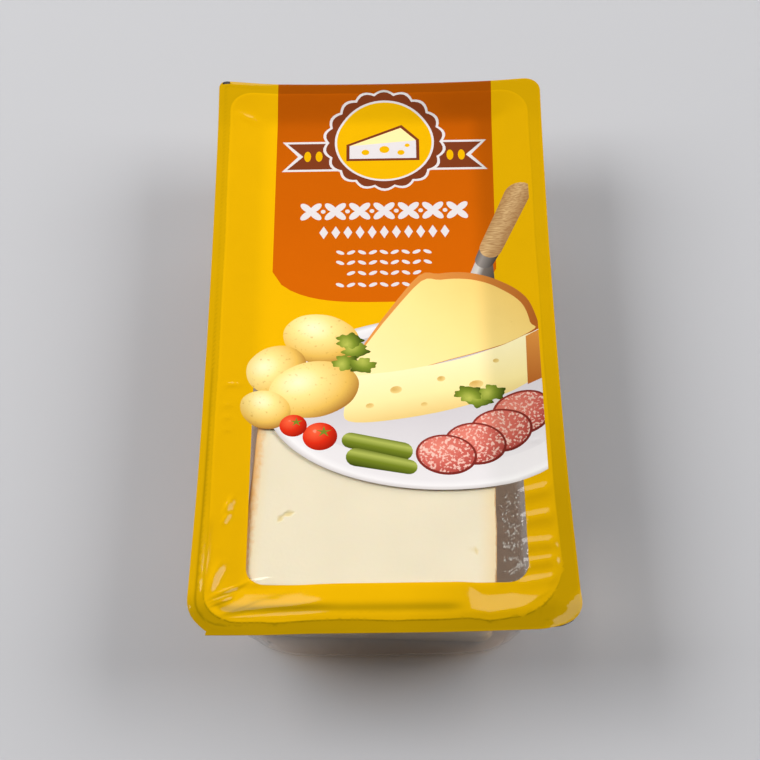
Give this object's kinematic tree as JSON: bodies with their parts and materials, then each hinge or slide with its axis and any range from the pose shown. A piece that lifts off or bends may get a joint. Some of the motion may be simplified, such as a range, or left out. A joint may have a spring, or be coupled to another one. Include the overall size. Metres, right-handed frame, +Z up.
{
  "type": "pack of sliced cheese",
  "caption": "Shut clear plastic tray holding stacked slices of cheese, closed by a printed film lid with a window onto the slices.",
  "frame": {"origin": "middle of the pack's plan, on the surface that the tray stands on", "axes": "+Z up through the lid, +Y along the pack's length towards the end away from the window, +X across the pack to the right when the window's end is nearest"},
  "size_m": [0.1038, 0.1917, 0.0392],
  "materials": {
    "tray": "clear, smooth and glossy",
    "lid_film": "glossy printed film, yellow with an orange panel, clear over the window",
    "cheese": "ivory, smooth and slightly moist, with a thin orange-brown rind on the two long sides"
  },
  "bodies": {
    "root": {"tray": "tray", "lid_film": "lid_film", "slice_front_1": "cheese", "slice_front_2": "cheese", "slice_front_3": "cheese", "slice_front_4": "cheese", "slice_front_5": "cheese", "slice_front_6": "cheese", "slice_front_7": "cheese", "slice_front_8": "cheese", "slice_back_1": "cheese", "slice_back_2": "cheese", "slice_back_3": "cheese", "slice_back_4": "cheese", "slice_back_5": "cheese", "slice_back_6": "cheese", "slice_back_7": "cheese", "slice_back_8": "cheese"}
  },
  "joints": []
}
